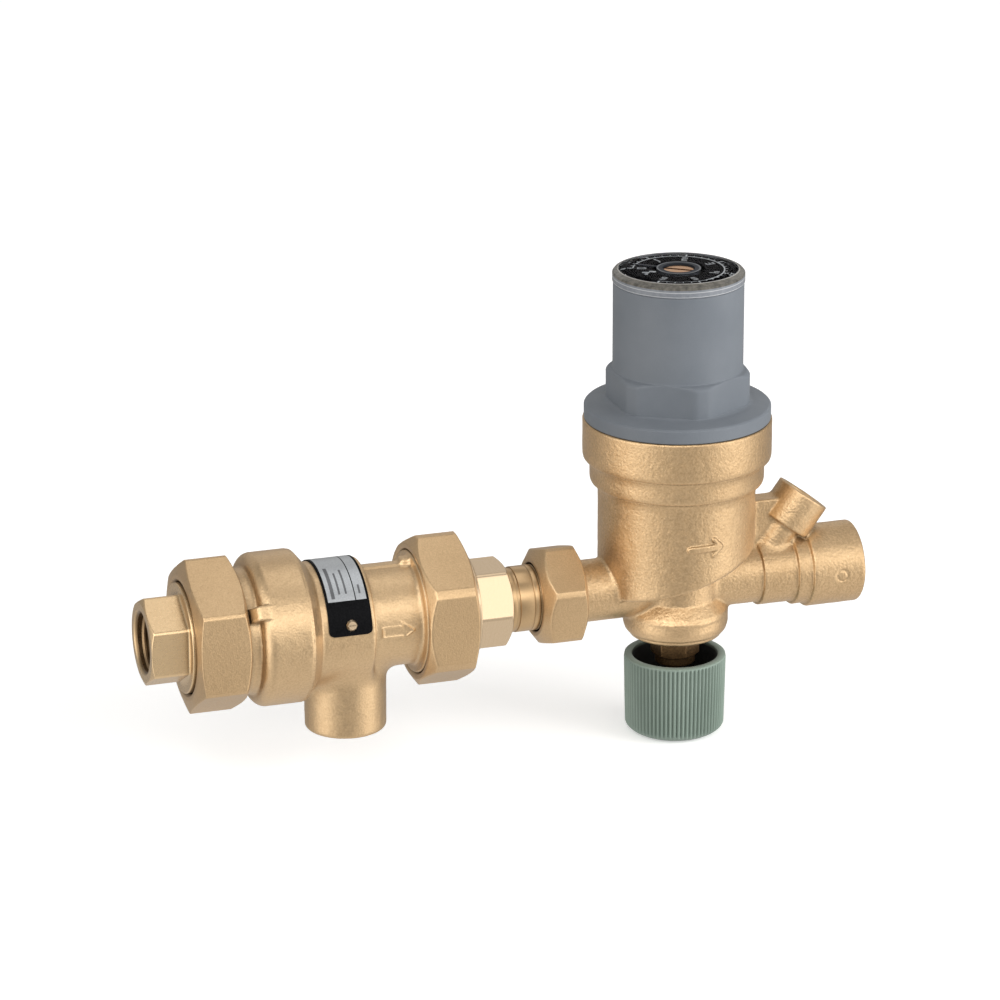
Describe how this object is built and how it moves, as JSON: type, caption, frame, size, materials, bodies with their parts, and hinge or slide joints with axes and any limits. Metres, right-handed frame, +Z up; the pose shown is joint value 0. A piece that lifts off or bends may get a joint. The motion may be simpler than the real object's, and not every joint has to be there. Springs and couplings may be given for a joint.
{
  "type": "pressure reducing valve",
  "caption": "Brass pressure reducing valve with dial adjuster and shut-off knob, joined by union nuts to an in-line backflow preventer with a downward vent.",
  "frame": {"origin": "on the flow axis at the mouth of the inlet port; the inlet_port mount's wall starts 1 mm inside it, past the countersink", "axes": "+X along the flow, inlet to outlet; +Z up along the regulator axis, towards the dial; +Y to the back"},
  "size_m": [0.2521, 0.0642, 0.1651],
  "materials": {
    "cast_brass": "sand-blasted cast brass, warm tan, fine even grain",
    "turned_brass": "turned and milled brass, smooth with faint tool marks",
    "bonnet_plastic": "moulded glass-filled plastic, blue-grey, matt",
    "knob_plastic": "moulded plastic, grey-green, matt, fine vertical ribs",
    "dial_black": "black printed dial face",
    "dial_window": "clear moulded window with a rounded rim",
    "pointer_grey": "light grey moulded plastic",
    "label_foil": "printed foil label, blank, silver-grey",
    "rubber": "black moulded rubber",
    "white_plastic": "off-white engineering plastic",
    "steel": "stainless steel, lightly brushed"
  },
  "bodies": {
    "frame": {"inlet_tailpiece": "turned_brass", "inlet_gasket": "rubber", "inlet_strainer": "steel", "vent_body": "cast_brass", "diaphragm_clamp_ring": "turned_brass", "vent_seat": "turned_brass", "second_check_housing": "white_plastic", "second_check_spring": "steel", "second_check_guide": "white_plastic", "outlet_gasket": "rubber", "outlet_tailpiece": "turned_brass", "label_plate": "label_foil", "label_screws": "turned_brass", "union_nipple": "turned_brass", "coupling_gasket": "rubber", "regulator_body": "cast_brass", "bonnet": "bonnet_plastic", "dial_plate": "dial_black", "dial_cap": "dial_window", "thrust_washer": "steel", "regulating_spring": "steel", "diaphragm": "rubber", "slip_ring": "white_plastic", "seat_cartridge": "white_plastic", "cartridge_oring": "rubber", "regulator_strainer": "steel", "gland_nut": "turned_brass", "gland_oring": "rubber", "outlet_check_housing": "white_plastic", "outlet_check_spring": "steel", "outlet_check_guide": "white_plastic"},
    "inlet_nut": {"inlet_union_nut": "turned_brass"},
    "outlet_nut": {"outlet_union_nut": "turned_brass"},
    "coupling_nut": {"coupling_nut": "turned_brass"},
    "carrier": {"check_carrier": "turned_brass", "vent_seal": "rubber", "vent_diaphragm_nut": "turned_brass", "first_check_guide": "white_plastic", "first_check_spring": "steel", "vent_diaphragm": "rubber"},
    "first_poppet": {"first_check_poppet": "white_plastic", "first_check_seal": "rubber"},
    "second_poppet": {"second_check_poppet": "white_plastic", "second_check_seal": "rubber"},
    "outlet_poppet": {"outlet_check_poppet": "rubber"},
    "adjuster": {"adjusting_screw": "turned_brass", "pointer_ring": "pointer_grey"},
    "spring_nut": {"spring_nut": "turned_brass"},
    "diaphragm_set": {"diaphragm_plate": "steel", "spring_cup": "steel", "stem_lock_nut": "turned_brass", "regulator_stem": "turned_brass", "obturator": "turned_brass", "obturator_seal": "rubber"},
    "shutoff_slider": {"shutoff_disc": "turned_brass", "shutoff_seal": "rubber"},
    "shutoff_spindle": {"shutoff_stem": "turned_brass", "shutoff_knob": "knob_plastic", "knob_screw": "steel"}
  },
  "joints": [
    {"name": "inlet_nut_turn", "type": "hinge", "parent": "frame", "child": "inlet_nut", "pos_m": [0.0226, 0, 0], "axis": [1, 0, 0], "range_deg": [0, 60]},
    {"name": "outlet_nut_turn", "type": "hinge", "parent": "frame", "child": "outlet_nut", "pos_m": [0.1015, 0, 0], "axis": [1, 0, 0], "range_deg": [0, 60]},
    {"name": "coupling_nut_turn", "type": "hinge", "parent": "frame", "child": "coupling_nut", "pos_m": [0.1439, 0, 0], "axis": [1, 0, 0], "range_deg": [0, 60]},
    {"name": "vent_carrier_slide", "type": "slide", "parent": "frame", "child": "carrier", "axis": [1, 0, 0], "range_m": [0, 0.0018], "stiffness_N_per_m": 2000, "deforming": ["vent_diaphragm"]},
    {"name": "first_check_slide", "type": "slide", "parent": "carrier", "child": "first_poppet", "axis": [1, 0, 0], "range_m": [0, 0.005], "stiffness_N_per_m": 200, "deforming": ["first_check_spring"]},
    {"name": "second_check_slide", "type": "slide", "parent": "frame", "child": "second_poppet", "axis": [1, 0, 0], "range_m": [0, 0.004], "stiffness_N_per_m": 200, "deforming": ["second_check_spring"]},
    {"name": "outlet_check_slide", "type": "slide", "parent": "frame", "child": "outlet_poppet", "axis": [1, 0, 0], "range_m": [0, 0.0025], "stiffness_N_per_m": 200, "deforming": ["outlet_check_spring"]},
    {"name": "pressure_setting", "type": "hinge", "parent": "frame", "child": "adjuster", "pos_m": [0.1876, 0, 0.1], "axis": [0, 0, -1], "range_deg": [-14, 276]},
    {"name": "spring_nut_slide", "type": "slide", "parent": "frame", "child": "spring_nut", "axis": [0, 0, -1], "range_m": [-0.0005, 0.0065], "deforming": ["regulating_spring"]},
    {"name": "diaphragm_slide", "type": "slide", "parent": "frame", "child": "diaphragm_set", "axis": [0, 0, 1], "range_m": [-0.0015, 0.0015], "stiffness_N_per_m": 3000, "deforming": ["diaphragm"]},
    {"name": "shutoff_lift", "type": "slide", "parent": "frame", "child": "shutoff_slider", "axis": [0, 0, 1], "range_m": [0, 0.006]},
    {"name": "shutoff_turn", "type": "hinge", "parent": "shutoff_slider", "child": "shutoff_spindle", "pos_m": [0.1876, 0, -0.04], "axis": [0, 0, 1], "range_deg": [0, 1080]}
  ],
  "couplings": [
    {"joint": "spring_nut_slide", "follows": "pressure_setting", "m_per_rad": 0.0012732},
    {"joint": "shutoff_lift", "follows": "shutoff_turn", "m_per_rad": 0.00031831}
  ]
}
